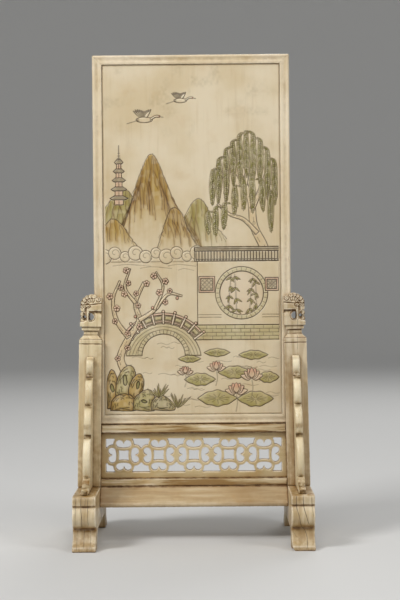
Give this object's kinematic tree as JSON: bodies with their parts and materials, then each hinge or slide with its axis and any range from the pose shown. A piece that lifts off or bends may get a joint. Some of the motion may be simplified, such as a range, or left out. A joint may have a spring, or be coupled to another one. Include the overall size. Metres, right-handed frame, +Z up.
{
  "type": "table screen",
  "caption": "Upright table screen: a framed carved plaque that slides down into a pierced stand with lion-head posts, standing brackets and scroll feet.",
  "frame": {"origin": "on the table, under the middle of the two feet", "axes": "+X to the right seen from the front, +Y to the back, +Z up; the carved face looks along -Y"},
  "size_m": [0.1346, 0.1, 0.28],
  "materials": {
    "plaque": "satin, tinted low relief on the front",
    "panel_frame": "satin polish, worn edges",
    "stand": "satin polish, fine age cracks and brown stain in the hollows",
    "fretwork": "satin, toned"
  },
  "bodies": {
    "stand": {"post_left": "stand", "post_right": "stand", "upper_rail": "stand", "pierced_board": "fretwork", "lower_rail": "stand", "bracket_front_left": "stand", "bracket_front_right": "stand", "bracket_back_left": "stand", "bracket_back_right": "stand", "foot_left": "stand", "foot_right": "stand", "apron_front": "stand", "apron_back": "stand"},
    "panel": {"plaque": "plaque", "panel_stile_left": "panel_frame", "panel_stile_right": "panel_frame", "panel_rail_top": "panel_frame", "panel_rail_bottom": "panel_frame"}
  },
  "joints": [
    {"name": "panel_lift", "type": "slide", "parent": "stand", "child": "panel", "axis": [0, 0, 1], "range_m": [0, 0.08]}
  ]
}
